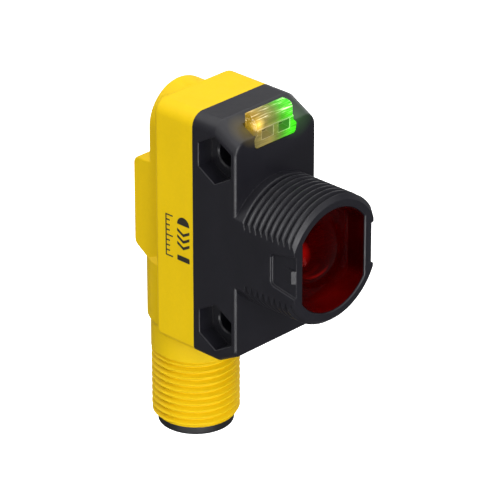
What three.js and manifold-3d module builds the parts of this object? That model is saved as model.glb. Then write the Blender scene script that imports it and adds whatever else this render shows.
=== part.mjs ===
// Photoelectric sensor with an 18 mm threaded lens barrel and a 12 mm threaded plug connector.
// Millimetres, +Z up. The origin is where the lens axis meets the flat front of the body.
// The lens looks along -Y, the connector points along -Z, and the body is symmetric about X = 0.
import * as THREE from "three";
import { mergeVertices } from "three/addons/utils/BufferGeometryUtils.js";
import Module from "manifold-3d";

const wasm = await Module();
wasm.setup();

// ---------------------------------------------------------------- driving dimensions
const HALF_WIDTH = 7.5;
const BODY = { top: 17.35, bottom: -17, split: 7.75, rear: 14.8, topRadius: 1.95, bottomRadius: 0.9 };
const WALL = 1.2;
const TOP_CHAMFER = { y: 3.75, drop: 2.0 };
const BOTTOM_CHAMFER = { y: 3.4, rise: 1.8 };

const BARREL = { front: -10.4, crest: 9, root: 8.39, pitch: 1, firstRoot: -1.55, roots: 9, edge: 0.7 };
const WINDOW = { radius: 7.25, halfFlat: 5.88, front: -10.15, floor: -8, rear: -7.3, ledge: -6.8 };
const LENS = { wall: 0.55, radius: 4.6, height: 1.3, steps: 6 };
const SNAP = { rear: -6.24, depth: 0.4, rearHalf: 1.9, frontHalf: 2.9, corner: 0.5 };
const WEDGE = { rear: -8.2, peak: -9.87, front: -10.35, half: 0.92 };
const SCREW = { y: 3.73, z: 12.05, radius: 1.65, acrossFlats: 5.8, pocket: 2.5 };
const CHAMBER = { front: 1.5, halfWidth: 6, halfHeight: 8.6 };
const LIP = { overlap: 0.5, reach: 1.2, halfWidth: 5.4, bottom: -14.5, top: 14.2 };

const BOSS = { halfWidth: 5.6, centre: 11.75, foot: -8, rear: 17.95, inner: 4.4, innerFoot: -12 };
const PAD = { halfWidth: 5.6, rear: 20.5, top: 6.9, edge: 0.9, bottom: -5.9, heel: 18.3, heelBottom: -7.4 };
const CONNECTOR = { y: 14.8, crest: 6, root: 5.39, pitch: 1, roots: 9, neck: 6.04, collar: 6.47 };
const CONNECTOR_Z = {
  collarTop: -7.4,
  collarEnd: -16.1,
  neckTop: -17,
  thread: -21,
  end: -31.25,
  rim: -32.5,
};
const BORE = { radius: 5, top: -14, upperRadius: 4.5, upperTop: 5 };
const INSERT = { radius: 4.85, flange: 5.2, cavity: 4.2, floor: -24, top: -22, key: 0.6, edge: 0.2 };
const PIN = { radius: 0.5, circle: 2.5, tip: -31, tail: -19.4, clearance: 0.12 };

const OPTICS = { front: -6.4, rear: 4.6, radius: 6.15, halfFlat: 4.75, wall: 0.8, floor: 3, port: 1.65 };
const BEAM = { z: 2.6, halfWall: 0.4 };
const LAMP = { tip: 1.6, base: 5.3, radius: 1.5, flange: 0.25, flangeDepth: 0.6 };
const POT = { z: 11.75, hole: 2.3, rotor: 1.9, rotorRear: 17.6, rotorFront: 14.6 };
const STEM = { radius: 1.1, front: 13.3 };
const POT_BLOCK = { half: 2.6, halfHeight: 2.8, clearance: 0.12 };
const SLOT = { half: 0.35, depth: 0.8 };
const PIPE = { halfWidth: 3.6, front: 0.6, rear: 2.2, top: 18.25 };
const SKIRT = { halfWidth: 3.75, bottom: 13.6, top: 16, rear: 0.9 };
const SHANK = { halfWidth: 3.2, bottom: 14.55, top: 16.05, rear: 8.6, forkHalf: 0.5, forkFront: 3.2 };
const PIPE_WINDOW = { x: 1.5, half: 1.1, depth: 0.5, bottom: 14.45, top: 15.85 };
const BOARD = { front: 10.3, rear: 11.1, halfWidth: 5.9, bottom: -14.6, top: 15.6 };
const WIRE = { radius: 0.3, sides: 8, steps: 12, innerX: 0.7, outerX: 2, boardZ: -10.5 };

const TUNNEL_INSET = 0.75;
const GAP = 0.15;
const CONTACT = 0.05;

// ---------------------------------------------------------------- finishes
const finish = (color, roughness, metalness = 0) =>
  new THREE.MeshStandardMaterial({ color, roughness, metalness });
const YELLOW = finish(0xe3b91b, 0.45);
const BLACK = finish(0x232227, 0.5);
const RED = finish(0x6d0508, 0.1);
const CLEAR = finish(0xdfe8d0, 0.1);
const BOARD_GREEN = finish(0x1d5a36, 0.5);
const CHIP_BLACK = finish(0x17171a, 0.6);
const SILVER = finish(0xc9c9cc, 0.3, 0.9);
const GOLD = finish(0xcfa547, 0.25, 0.9);
const AMBER = finish(0xf0a020, 0.3);
const GREEN = finish(0x39d84a, 0.3);
const CERAMIC = finish(0xa98a62, 0.6);
const RUBBER = finish(0x1b1b1b, 0.9);
const WHITE = finish(0xe8e6df, 0.5);
const BLUE = finish(0x2d5fae, 0.4);
const WIRES = [finish(0x6b4226, 0.5), WHITE, BLUE, finish(0x202020, 0.5)];

// ---------------------------------------------------------------- solids
// A closed geometry as a manifold solid with its faces pointing out.
function solid(geometry) {
  const bare = geometry.index ? geometry.clone() : geometry;
  bare.deleteAttribute("normal");
  bare.deleteAttribute("uv");
  const merged = mergeVertices(bare, 1e-4);
  const triVerts = new Uint32Array(merged.index.array);
  const vertProperties = new Float32Array(merged.attributes.position.array);
  const made = new wasm.Manifold(new wasm.Mesh({ numProp: 3, vertProperties, triVerts }));
  if (made.volume() > 0) return made;
  for (let i = 0; i < triVerts.length; i += 3) {
    [triVerts[i + 1], triVerts[i + 2]] = [triVerts[i + 2], triVerts[i + 1]];
  }
  return new wasm.Manifold(new wasm.Mesh({ numProp: 3, vertProperties, triVerts }));
}

const join = (first, ...rest) => rest.reduce((a, b) => a.add(b), first);
const cut = (first, ...tools) => tools.reduce((a, b) => a.subtract(b), first);

function box(x, y, z) {
  const [width, depth, height] = [x[1] - x[0], y[1] - y[0], z[1] - z[0]];
  const geometry = new THREE.BoxGeometry(width, depth, height);
  geometry.translate((x[0] + x[1]) / 2, (y[0] + y[1]) / 2, (z[0] + z[1]) / 2);
  return solid(geometry);
}

// The three axes that an outline's u, v and its extrusion follow.
const AXES = {
  x: new THREE.Matrix4().set(0, 0, 1, 0, 1, 0, 0, 0, 0, 1, 0, 0, 0, 0, 0, 1),
  y: new THREE.Matrix4().set(1, 0, 0, 0, 0, 0, 1, 0, 0, 1, 0, 0, 0, 0, 0, 1),
  z: new THREE.Matrix4(),
};

// An outline of [u, v, radius] corners extruded along an axis.
// Its u and v are y and z along x, x and z along y, and x and y along z.
function prism(axis, corners, from, to, steps = 6) {
  const points = corners.flatMap((corner, i) => {
    const radius = corner[2] ?? 0;
    const here = new THREE.Vector2(corner[0], corner[1]);
    if (!radius) return [here];
    const before = corners[(i + corners.length - 1) % corners.length];
    const after = corners[(i + 1) % corners.length];
    const toBefore = new THREE.Vector2(before[0], before[1]).sub(here).normalize();
    const toAfter = new THREE.Vector2(after[0], after[1]).sub(here).normalize();
    const half = Math.acos(toBefore.dot(toAfter)) / 2;
    const middle = toBefore.clone().add(toAfter).normalize();
    const centre = middle.multiplyScalar(radius / Math.sin(half)).add(here);
    const start = toBefore.clone().multiplyScalar(radius / Math.tan(half)).add(here).sub(centre);
    const sweep = (Math.PI - 2 * half) * Math.sign(toBefore.cross(toAfter)) * -1;
    return Array.from({ length: steps + 1 }, (_, k) =>
      start.clone().rotateAround(new THREE.Vector2(), (sweep * k) / steps).add(centre));
  });
  const options = { depth: to - from, bevelEnabled: false };
  const geometry = new THREE.ExtrudeGeometry(new THREE.Shape(points), options);
  geometry.translate(0, 0, from);
  return solid(geometry.applyMatrix4(AXES[axis]));
}

const rectangle = (u, v, radius = 0) => [
  [u[0], v[0], radius],
  [u[1], v[0], radius],
  [u[1], v[1], radius],
  [u[0], v[1], radius],
];

// A profile of [radius, height] points turned about an axis that passes through a centre.
function turned(axis, profile, centre = [0, 0, 0], sides = 48) {
  const geometry = new THREE.LatheGeometry(profile.map(([r, h]) => new THREE.Vector2(r, h)), sides);
  if (axis === "z") geometry.rotateX(Math.PI / 2);
  if (axis === "x") geometry.rotateZ(-Math.PI / 2);
  return solid(geometry.translate(...centre));
}

const rod = (axis, radius, from, to, centre, sides = 48) =>
  turned(axis, [[0, from], [radius, from], [radius, to], [0, to]], centre, sides);

const tube = (axis, outer, inner, from, to, centre, sides = 48) =>
  turned(axis, [[inner, from], [outer, from], [outer, to], [inner, to], [inner, from]], centre, sides);

// The ring grooves that stand for a screw thread, as the profile's outer edge towards minus.
function threadProfile({ crest, root, pitch, roots }, firstRoot) {
  const halfGroove = pitch * 0.42;
  return Array.from({ length: roots }, (_, i) => firstRoot - pitch * i).flatMap((centre) => [
    [crest, centre + halfGroove],
    [root, centre],
    [crest, centre - halfGroove],
  ]);
}

const part = new THREE.Group();

function add(name, shape, material) {
  const { vertProperties, triVerts } = shape.getMesh();
  const geometry = new THREE.BufferGeometry();
  geometry.setAttribute("position", new THREE.BufferAttribute(vertProperties, 3));
  geometry.setIndex(new THREE.BufferAttribute(triVerts, 1));
  const mesh = new THREE.Mesh(geometry, material);
  mesh.name = name;
  part.add(mesh);
}

// ---------------------------------------------------------------- housing
const bodyOutline = (inset = 0) => {
  const x = HALF_WIDTH - inset;
  const least = 0.3;
  const lower = Math.max(BODY.bottomRadius - inset, least);
  const upper = Math.max(BODY.topRadius - inset, least);
  return [
    [-x, BODY.bottom + inset, lower],
    [x, BODY.bottom + inset, lower],
    [x, BODY.top - inset, upper],
    [-x, BODY.top - inset, upper],
  ];
};

// An upright arch, round at the top, as an outline in x and z.
const arch = (halfWidth, centre, bottom) => [
  [-halfWidth, bottom],
  [halfWidth, bottom],
  [halfWidth, centre + halfWidth, halfWidth - 0.01],
  [-halfWidth, centre + halfWidth, halfWidth - 0.01],
];

function plugSpigot() {
  const { crest, root, neck, collar } = CONNECTOR;
  const z = CONNECTOR_Z;
  const profile = [
    [0, z.collarTop + 2],
    [PAD.halfWidth, z.collarTop + 1],
    [collar, z.collarTop],
    [collar, z.collarEnd],
    [neck, z.neckTop],
    [neck, z.thread],
    ...threadProfile(CONNECTOR, z.thread - 0.6),
    [crest, z.end + 0.6],
    [root, z.end],
    [0, z.end],
  ];
  return turned("z", profile, [0, CONNECTOR.y, 0], 40);
}

function rearPad() {
  const root = BODY.rear - 1;
  const outline = [
    [root, PAD.top],
    [root, PAD.heelBottom],
    [PAD.heel, PAD.heelBottom],
    [PAD.rear, PAD.bottom],
    [PAD.rear, PAD.top, PAD.edge],
  ];
  return prism("x", outline, -PAD.halfWidth, PAD.halfWidth);
}

function rearHousing() {
  const at = [0, CONNECTOR.y, 0];
  const shell = prism("y", bodyOutline(), BODY.split, BODY.rear);
  const boss = prism("y", arch(BOSS.halfWidth, BOSS.centre, BOSS.foot), BODY.rear - 1, BOSS.rear, 10);
  const cavity = prism("y", bodyOutline(WALL), BODY.split - 1, BODY.rear - WALL);
  const bossOutline = arch(BOSS.inner, BOSS.centre, BOSS.innerFoot);
  const bossCavity = prism("y", bossOutline, BODY.rear - 2, BOSS.rear - WALL, 8);
  const bore = rod("z", BORE.radius, CONNECTOR_Z.end - 1, BORE.top, at);
  const upperBore = rod("z", BORE.upperRadius, BORE.top - 1, BORE.upperTop, at);
  const potHole = rod("y", POT.hole, BOSS.rear - 3, BOSS.rear + 1, [0, 0, POT.z], 32);
  return cut(join(shell, boss, rearPad(), plugSpigot()), cavity, bossCavity, bore, upperBore, potHole);
}

// ---------------------------------------------------------------- cover with the lens barrel
const windowOutline = (inset = 0) => {
  const radius = WINDOW.radius - inset;
  const x = WINDOW.halfFlat - inset;
  const reach = Math.acos(x / radius);
  const steps = 16;
  return [reach, Math.PI + reach].flatMap((start) =>
    Array.from({ length: steps + 1 }, (_, k) => {
      const angle = start + ((Math.PI - 2 * reach) * k) / steps;
      return [radius * Math.cos(angle), radius * Math.sin(angle)];
    }));
};

function barrel() {
  const profile = [
    [0, 1],
    [BARREL.crest, 1],
    ...threadProfile(BARREL, BARREL.firstRoot),
    [BARREL.crest - BARREL.edge, BARREL.front],
    [0, BARREL.front],
  ];
  const flats = box([-HALF_WIDTH, HALF_WIDTH], [BARREL.front, 1], [-BARREL.crest, BARREL.crest]);
  return turned("y", profile, [0, 0, 0], 56).intersect(flats);
}

// The shallow snap recess in one flat of the barrel, open to the front, with its wedge.
function snapRecess(side) {
  const outline = [
    [SNAP.rear, -SNAP.rearHalf, SNAP.corner],
    [BARREL.front - 1, -SNAP.frontHalf],
    [BARREL.front - 1, SNAP.frontHalf],
    [SNAP.rear, SNAP.rearHalf, SNAP.corner],
  ];
  const inner = HALF_WIDTH - SNAP.depth;
  return side > 0
    ? prism("x", outline, inner, HALF_WIDTH + 1)
    : prism("x", outline, -HALF_WIDTH - 1, -inner);
}

function snapWedge(side) {
  const foot = HALF_WIDTH - SNAP.depth;
  const buried = foot - 0.3;
  const outline = [
    [side * buried, WEDGE.rear],
    [side * foot, WEDGE.rear],
    [side * HALF_WIDTH, WEDGE.peak],
    [side * foot, WEDGE.front],
    [side * buried, WEDGE.front],
  ];
  return prism("z", side > 0 ? outline : outline.reverse(), -WEDGE.half, WEDGE.half);
}

function screwHoles() {
  const across = SCREW.acrossFlats / Math.sqrt(3);
  return [-1, 1].flatMap((side) => {
    const at = [0, SCREW.y, side * SCREW.z];
    const hexagon = Array.from({ length: 6 }, (_, k) => {
      const angle = Math.PI / 2 + (k * Math.PI) / 3;
      return [at[1] + across * Math.cos(angle), at[2] + across * Math.sin(angle)];
    });
    return [
      rod("x", SCREW.radius, -HALF_WIDTH - 1, HALF_WIDTH + 1, at, 24),
      prism("x", hexagon, -HALF_WIDTH - 1, -HALF_WIDTH + SCREW.pocket),
    ];
  });
}

// The wedges that the two chamfers take off the front of the body.
function chamferCuts() {
  const top = [
    [-1, BODY.top + 1],
    [-1, BODY.top - TOP_CHAMFER.drop * (1 + 1 / TOP_CHAMFER.y)],
    [TOP_CHAMFER.y + 1, BODY.top + TOP_CHAMFER.drop / TOP_CHAMFER.y],
    [TOP_CHAMFER.y + 1, BODY.top + 1],
  ];
  const bottom = [
    [-1, BODY.bottom - 1],
    [BOTTOM_CHAMFER.y + 1, BODY.bottom - 1],
    [BOTTOM_CHAMFER.y + 1, BODY.bottom - BOTTOM_CHAMFER.rise / BOTTOM_CHAMFER.y],
    [-1, BODY.bottom + BOTTOM_CHAMFER.rise * (1 + 1 / BOTTOM_CHAMFER.y)],
  ];
  return [top, bottom].map((outline) => prism("x", outline, -HALF_WIDTH - 1, HALF_WIDTH + 1));
}

const pipeSlot = (clearance) => {
  const skirt = SKIRT.halfWidth + clearance;
  const shank = SHANK.halfWidth + clearance;
  return [
    box([-skirt, skirt], [-1, SKIRT.rear + clearance], [SKIRT.bottom - clearance, BODY.top + 1]),
    box([-PIPE.halfWidth - clearance, PIPE.halfWidth + clearance],
      [PIPE.front - clearance, PIPE.rear + clearance], [SHANK.bottom - clearance, BODY.top + 1]),
    box([-shank, shank], [0, BODY.split + 2], [SHANK.bottom - clearance, SHANK.top + clearance]),
  ];
};

function frontCover() {
  const block = cut(prism("y", bodyOutline(), 0, BODY.split), ...chamferCuts());
  const lip = prism("y", bodyOutline(WALL + GAP), BODY.split - LIP.overlap, BODY.split + LIP.reach);
  const { front, halfWidth, halfHeight } = CHAMBER;
  const chamber = box([-halfWidth, halfWidth], [front, BODY.split + 2], [-halfHeight, halfHeight]);
  const lipWidth = [-LIP.halfWidth, LIP.halfWidth];
  const lipHollow = box(lipWidth, [BODY.split - 1, BODY.split + 2], [LIP.bottom, LIP.top]);
  const opening = prism("y", windowOutline(), BARREL.front - 1, WINDOW.ledge);
  const tunnel = prism("y", windowOutline(TUNNEL_INSET), WINDOW.ledge - 1, front + 0.5);
  const recessed = cut(join(block, barrel(), lip), snapRecess(-1), snapRecess(1));
  const shell = join(recessed, snapWedge(-1), snapWedge(1));
  return cut(shell, chamber, lipHollow, opening, tunnel, ...screwHoles(), ...pipeSlot(GAP));
}

// ---------------------------------------------------------------- optics
// The red cup in the window: a rim, a floor behind it, and a convex lens standing on the floor.
function lens() {
  const { front, floor, rear } = WINDOW;
  const cup = prism("y", windowOutline(GAP), front, rear);
  const hollow = prism("y", windowOutline(GAP + LENS.wall), front - 1, floor);
  const buried = (floor + rear) / 2;
  const dome = Array.from({ length: LENS.steps + 1 }, (_, k) => {
    const share = 1 - k / LENS.steps;
    return [LENS.radius * share, floor - LENS.height * (1 - share ** 2)];
  });
  return join(cut(cup, hollow), turned("y", [[0, buried], [LENS.radius, buried], ...dome]));
}

function lensSeal() {
  const from = WINDOW.rear + CONTACT;
  const to = WINDOW.ledge - CONTACT;
  const light = prism("y", windowOutline(TUNNEL_INSET), from - 1, to + 1);
  return cut(prism("y", windowOutline(GAP), from, to), light);
}

// The black carrier behind the lens: a tube with a wall between the two beams.
function opticsCarrier() {
  const { front, rear, radius, halfFlat, wall, floor, port } = OPTICS;
  const flats = box([-halfFlat, halfFlat], [front, rear], [-radius, radius]);
  const trimmed = rod("y", radius, front, rear).intersect(flats);
  const inner = [-halfFlat + wall, halfFlat - wall];
  const halves = [[-radius, -BEAM.halfWall], [BEAM.halfWall, radius]].map((height) =>
    rod("y", radius - wall, front - 1, rear).intersect(box(inner, [front - 1, floor], height)));
  const ports = [-1, 1].map((side) => rod("y", port, floor - 1, rear + 1, [0, 0, side * BEAM.z], 24));
  return cut(trimmed, ...halves, ...ports);
}

// A through-hole lamp with a flange at its base and a domed tip that points along -Y.
function domedLamp(z) {
  const { tip, base, radius, flange, flangeDepth } = LAMP;
  const steps = 4;
  const dome = Array.from({ length: steps + 1 }, (_, k) => {
    const angle = (k * Math.PI) / 2 / steps;
    return [radius * Math.cos(angle), tip + radius * (1 - Math.sin(angle))];
  });
  const profile = [
    [0, base],
    [radius + flange, base],
    [radius + flange, base - flangeDepth],
    [radius, base - flangeDepth],
    ...dome,
  ];
  return turned("y", profile, [0, 0, z], 20);
}

// The tinned can over the receiver's amplifier, open towards the optics board.
function receiverShield() {
  const sheet = 0.3;
  const { x, y, z } = { x: 2.6, y: [6.25, 8.2], z: [-5.2, 0] };
  const inside = box([-x + sheet, x - sheet], [y[0] - 1, y[1] - sheet], [z[0] + sheet, z[1] - sheet]);
  return cut(box([-x, x], y, z), inside);
}

// ---------------------------------------------------------------- connector
const PIN_ANGLES = [45, 135, 225, 315].map((degrees) => (degrees * Math.PI) / 180);
const pinPlace = (angle) => [PIN.circle * Math.cos(angle), CONNECTOR.y + PIN.circle * Math.sin(angle), 0];

function connectorInsert() {
  const { radius, flange, cavity, floor, top, key, edge } = INSERT;
  const z = CONNECTOR_Z;
  const profile = [
    [0, top],
    [radius, top],
    [radius, z.end - CONTACT],
    [flange, z.end - CONTACT],
    [flange, z.rim + edge],
    [flange - edge, z.rim],
    [cavity, z.rim],
    [cavity, floor],
    [0, floor],
  ];
  const wall = CONNECTOR.y + cavity;
  const rib = box([-key, key], [wall - 0.8, wall + 0.2], [z.rim + 0.6, floor + 0.2]);
  const holes = PIN_ANGLES.map((angle) =>
    rod("z", PIN.radius + PIN.clearance, floor - 1, top + 1, pinPlace(angle), 16));
  return cut(join(turned("z", profile, [0, CONNECTOR.y, 0]), rib), ...holes);
}

function contactPin(angle) {
  const { radius, tip, tail } = PIN;
  const profile = [[0, tip], [radius * 0.5, tip], [radius, tip + 0.5], [radius, tail], [0, tail]];
  return turned("z", profile, pinPlace(angle), 16);
}

// ---------------------------------------------------------------- circuit board and what it carries
function leadWire(angle) {
  const [x, y] = pinPlace(angle);
  const endX = Math.sign(x) * (y > CONNECTOR.y ? WIRE.outerX : WIRE.innerX);
  const end = new THREE.Vector3(endX, BOARD.rear + 0.35, WIRE.boardZ);
  const route = new THREE.CatmullRomCurve3([
    new THREE.Vector3(x, y, PIN.tail + 0.3),
    new THREE.Vector3(x, y, PIN.tail + 1.8),
    new THREE.Vector3((x + end.x) / 2, (y + 12.6) / 2, -14.6),
    new THREE.Vector3(end.x, 12.5, -11.6),
    end,
  ]);
  const section = new THREE.Shape(Array.from({ length: WIRE.sides }, (_, k) =>
    new THREE.Vector2(WIRE.radius, 0).rotateAround(new THREE.Vector2(), (2 * Math.PI * k) / WIRE.sides)));
  const options = { steps: WIRE.steps, extrudePath: route, bevelEnabled: false };
  return solid(new THREE.ExtrudeGeometry(section, options));
}

// A small block on the board: its centre in x and z, its size, and the side it sits on.
function boardBlock([x, z], [width, thickness, height], side) {
  const onRear = [BOARD.rear + CONTACT, BOARD.rear + CONTACT + thickness];
  const onFront = [BOARD.front - CONTACT - thickness, BOARD.front - CONTACT];
  return box([x - width / 2, x + width / 2], side > 0 ? onRear : onFront, [z - height / 2, z + height / 2]);
}

function potBody() {
  const { half, halfHeight, clearance } = POT_BLOCK;
  const depth = [BOARD.rear + CONTACT, POT.rotorFront - clearance];
  const block = box([-half, half], depth, [POT.z - halfHeight, POT.z + halfHeight]);
  const socket = rod("y", STEM.radius + clearance, STEM.front - clearance, POT.rotorFront, [0, 0, POT.z], 32);
  return cut(block, socket);
}

function potRotor() {
  const profile = [
    [0, STEM.front],
    [STEM.radius, STEM.front],
    [STEM.radius, POT.rotorFront],
    [POT.rotor, POT.rotorFront],
    [POT.rotor, POT.rotorRear],
    [0, POT.rotorRear],
  ];
  const height = [POT.z - POT.rotor - 1, POT.z + POT.rotor + 1];
  const slot = box([-SLOT.half, SLOT.half], [POT.rotorRear - SLOT.depth, POT.rotorRear + 1], height);
  return cut(turned("y", profile, [0, 0, POT.z], 32), slot);
}

const potSeal = () =>
  tube("y", POT.hole - CONTACT, POT.rotor + CONTACT, BOSS.rear - 1.1, BOSS.rear - 0.5, [0, 0, POT.z], 32);

const insertSeal = () => {
  const from = INSERT.top + CONTACT;
  return tube("z", BORE.radius - 2 * CONTACT, 3.6, from, from + 0.85, [0, CONNECTOR.y, 0]);
};

// ---------------------------------------------------------------- light pipe
function lightPipe() {
  const nearlyHalf = (PIPE.rear - PIPE.front) / 2 - 0.01;
  const headOutline = [
    [PIPE.front, SHANK.bottom],
    [PIPE.rear, SHANK.bottom],
    [PIPE.rear, PIPE.top, nearlyHalf],
    [PIPE.front, PIPE.top, nearlyHalf],
  ];
  const head = prism("x", headOutline, -PIPE.halfWidth, PIPE.halfWidth);
  const skirtOutline = [
    [0, SKIRT.bottom],
    [SKIRT.rear, SKIRT.bottom],
    [SKIRT.rear + 0.1, PIPE.top - 1],
    [0, SKIRT.top],
  ];
  const skirt = prism("x", skirtOutline, -SKIRT.halfWidth, SKIRT.halfWidth);
  const height = [SHANK.bottom, SHANK.top];
  const shank = box([-SHANK.halfWidth, SHANK.halfWidth], [PIPE.rear - 0.5, SHANK.rear], height);
  const { x, half, depth, bottom, top } = PIPE_WINDOW;
  const pockets = [-x, x].map((at) => box([at - half, at + half], [-1, depth], [bottom, top]));
  const fork = box([-SHANK.forkHalf, SHANK.forkHalf], [SHANK.forkFront, SHANK.rear + 1],
    [SHANK.bottom - 1, SHANK.top + 1]);
  return cut(join(head, skirt, shank), ...pockets, fork);
}

// ---------------------------------------------------------------- assembly
// The blocks on the main board: place in x and z, size, side (1 rear, -1 front) and finish.
const BOARD_BLOCKS = {
  amber_led: [[-1.8, 15], [1.6, 1.1, 0.8], -1, AMBER],
  green_led: [[1.8, 15], [1.6, 1.1, 0.8], -1, GREEN],
  controller_chip: [[0, 3.2], [5, 1.1, 5], -1, CHIP_BLACK],
  voltage_regulator: [[-3.4, -11.6], [2.6, 1.1, 1.6], -1, CHIP_BLACK],
  filter_capacitor: [[2.9, -11.6], [2, 1.1, 1.25], -1, CERAMIC],
  output_transistor_1: [[3.2, 3.6], [2.9, 1.1, 1.5], 1, CHIP_BLACK],
  output_transistor_2: [[3.2, 0.8], [2.9, 1.1, 1.5], 1, CHIP_BLACK],
  supply_capacitor: [[-3.2, 2.2], [2.2, 1.4, 3.2], 1, CERAMIC],
  protection_diode: [[0, -5.2], [3.4, 1.2, 1.6], 1, CHIP_BLACK],
};
const OPTICS_BOARD = { x: [-5.6, 5.6], y: [5.4, 6.2], z: [-8.2, 8.2] };
const BOARD_LINK = { x: [-3, 3], y: [6.3, BOARD.front - 0.1], z: [-8, -6.4] };
const MAIN_BOARD = {
  x: [-BOARD.halfWidth, BOARD.halfWidth],
  y: [BOARD.front, BOARD.rear],
  z: [BOARD.bottom, BOARD.top],
};

add("rear_housing", rearHousing(), YELLOW);
add("front_cover", frontCover(), BLACK);
add("lens", lens(), RED);
add("lens_seal", lensSeal(), RUBBER);
add("light_pipe", lightPipe(), CLEAR);
add("optics_carrier", opticsCarrier(), BLACK);
add("emitter_led", domedLamp(BEAM.z), RED);
add("receiver_photodiode", domedLamp(-BEAM.z), CHIP_BLACK);
add("optics_board", box(OPTICS_BOARD.x, OPTICS_BOARD.y, OPTICS_BOARD.z), BOARD_GREEN);
add("board_link", box(BOARD_LINK.x, BOARD_LINK.y, BOARD_LINK.z), CHIP_BLACK);
add("receiver_shield", receiverShield(), SILVER);
add("main_board", box(MAIN_BOARD.x, MAIN_BOARD.y, MAIN_BOARD.z), BOARD_GREEN);
Object.entries(BOARD_BLOCKS).forEach(([name, [place, size, side, material]]) => {
  add(name, boardBlock(place, size, side), material);
});
add("gain_pot_body", potBody(), BLUE);
add("gain_pot_rotor", potRotor(), WHITE);
add("gain_pot_seal", potSeal(), RUBBER);
add("connector_insert", connectorInsert(), BLACK);
add("insert_seal", insertSeal(), RUBBER);
PIN_ANGLES.forEach((angle, index) => {
  add(`contact_pin_${index + 1}`, contactPin(angle), GOLD);
  add(`lead_wire_${index + 1}`, leadWire(angle), WIRES[index]);
});

export default part;
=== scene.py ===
"""Photoelectric sensor with a yellow case, a black cover, a threaded lens barrel and a threaded plug.

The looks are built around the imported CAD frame. Shapes are drawn in millimetres and turned into metres
when a piece is finished. +Z is up, the lens looks along -Y and the plug points along -Z.
"""

from math import acos, atan2, cos, hypot, pi, radians, sin, sqrt, tan

import bmesh
import bpy
from mathutils import Matrix, Vector


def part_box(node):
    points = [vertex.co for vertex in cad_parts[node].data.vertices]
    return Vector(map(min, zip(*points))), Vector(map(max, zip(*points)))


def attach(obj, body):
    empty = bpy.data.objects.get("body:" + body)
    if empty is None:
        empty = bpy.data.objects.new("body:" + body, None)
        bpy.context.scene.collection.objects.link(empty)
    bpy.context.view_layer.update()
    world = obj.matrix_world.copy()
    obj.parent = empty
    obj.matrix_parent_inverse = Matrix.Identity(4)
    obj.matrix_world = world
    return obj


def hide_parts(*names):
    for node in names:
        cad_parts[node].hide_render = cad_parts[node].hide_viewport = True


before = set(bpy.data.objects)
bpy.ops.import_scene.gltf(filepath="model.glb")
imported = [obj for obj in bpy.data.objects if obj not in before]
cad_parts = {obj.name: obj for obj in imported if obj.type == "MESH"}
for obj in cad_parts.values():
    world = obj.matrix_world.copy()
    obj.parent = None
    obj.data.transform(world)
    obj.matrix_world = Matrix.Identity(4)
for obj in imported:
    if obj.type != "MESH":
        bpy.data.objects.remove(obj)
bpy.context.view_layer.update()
MM = 0.001


def extent(node):
    """The lowest and highest corner of a CAD node, in millimetres."""
    low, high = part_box(node)
    return low / MM, high / MM


# ---------- sizes taken from the frame
COVER_LOW, COVER_HIGH = extent("front_cover")
CASE_LOW = extent("rear_housing")[0]
LENS_LOW, LENS_HIGH = extent("lens")
PIPE_LOW, PIPE_HIGH = extent("light_pipe")
INSERT_LOW, INSERT_HIGH = extent("connector_insert")
ROTOR_LOW, ROTOR_HIGH = extent("gain_pot_rotor")
PIN_LOW, PIN_HIGH = extent("contact_pin_1")

HALF_WIDTH = COVER_HIGH.x
TOP = COVER_HIGH.z
BOTTOM = COVER_LOW.z
SPLIT = CASE_LOW.y
BARREL_FRONT = COVER_LOW.y
THREAD_END = CASE_LOW.z
PLUG_RIM = INSERT_LOW.z
PLUG_Y = (INSERT_LOW.y + INSERT_HIGH.y) / 2
PIN_CIRCLE = hypot((PIN_LOW.x + PIN_HIGH.x) / 2, (PIN_LOW.y + PIN_HIGH.y) / 2 - PLUG_Y)
POT_Z = (ROTOR_LOW.z + ROTOR_HIGH.z) / 2
POT_RADIUS = (ROTOR_HIGH.z - ROTOR_LOW.z) / 2

# ---------- moulded details, in millimetres
PAST = 1.0  # how far a cutting tool reaches past the surface it cuts
THREAD_STEP = 0.05  # the height between two rings of a thread
CREST_HALF, ROOT_HALF, THREAD_SOFT = 0.06, 0.05, 0.1  # shares of a thread's pitch and of its flank
SHARP_ANGLE = 28  # degrees

CASE_REAR = 14.8
CASE_REAR_EDGE = 0.7
CAVITY_CORNER = 0.8
WALL = 1.2
SEAM = 0.05
TOP_RADIUS = 1.95
BOTTOM_RADIUS = 0.9
TOP_CHAMFER = {"y": 3.75, "drop": 2.0, "front_fillet": 0.4, "rear_fillet": 0.3}
BOTTOM_CHAMFER = {"y": 3.4, "rise": 1.8, "front_fillet": 0.4, "rear_fillet": 0.6}
FRONT_EDGE = 0.35

BARREL = {"crest": 9.0, "root": 8.42, "pitch": 1.0, "first": 1.15, "lead": 0.3, "start": 0.8 * pi,
          "ring_from": 0.5, "edge_from": 9.8, "edge_slope": 1.22}
WINDOW = {"radius": 7.25, "half_flat": 5.88, "ledge": -6.8, "tunnel_inset": 0.75, "mouth": 0.12}
CHAMBER = {"half_width": 6, "half_height": 8.6, "front": 1.5}
SNAP = {"rear": -6.24, "depth": 0.4, "rear_half": 2.2, "mouth_half": 3.1, "corner": 0.7, "edge": 0.08}
WEDGE = {"rear": -8.2, "peak": -9.87, "half": 0.92, "sunk": 0.3, "peak_gap": 0.02, "front_gap": 0.03}
SCREW = {"y": 3.73, "z": 12.05, "radius": 1.65, "lip": 0.2}
NUT = {"across_flats": 5.8, "depth": 2.5, "corner": 0.12, "edge": 0.08, "draft": 0.02}

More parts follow.
